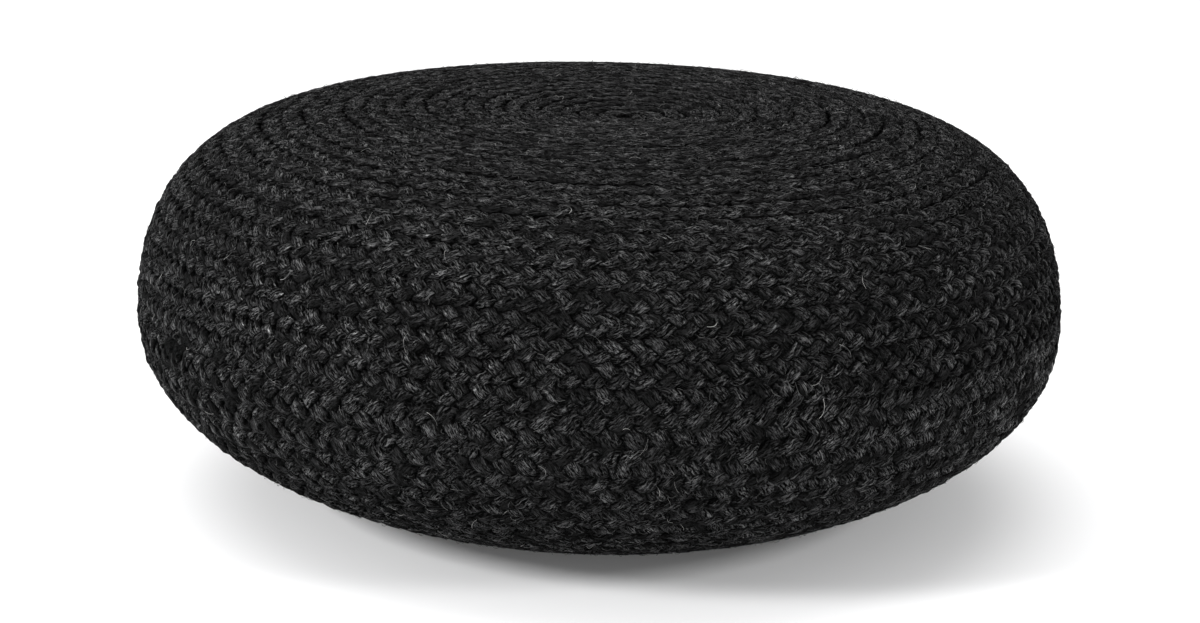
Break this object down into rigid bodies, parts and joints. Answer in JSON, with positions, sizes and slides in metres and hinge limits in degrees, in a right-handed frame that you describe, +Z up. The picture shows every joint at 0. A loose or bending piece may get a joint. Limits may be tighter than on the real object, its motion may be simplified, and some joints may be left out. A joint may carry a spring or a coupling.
{
  "type": "jute pouf",
  "caption": "Low round floor pouf, one filled body under a cover of charcoal jute plait coiled over the top and the underside and sewn together round the side.",
  "frame": {"origin": "centre of the base, on the floor", "axes": "+Z up, through the middle of the pouf; the front faces -Y and +X is to the right"},
  "size_m": [0.7598, 0.7588, 0.3256],
  "materials": {
    "dyed_jute": "matt, fibrous, with dull shine along the strands"
  },
  "bodies": {
    "root": {"pouf": "dyed_jute"}
  },
  "joints": []
}
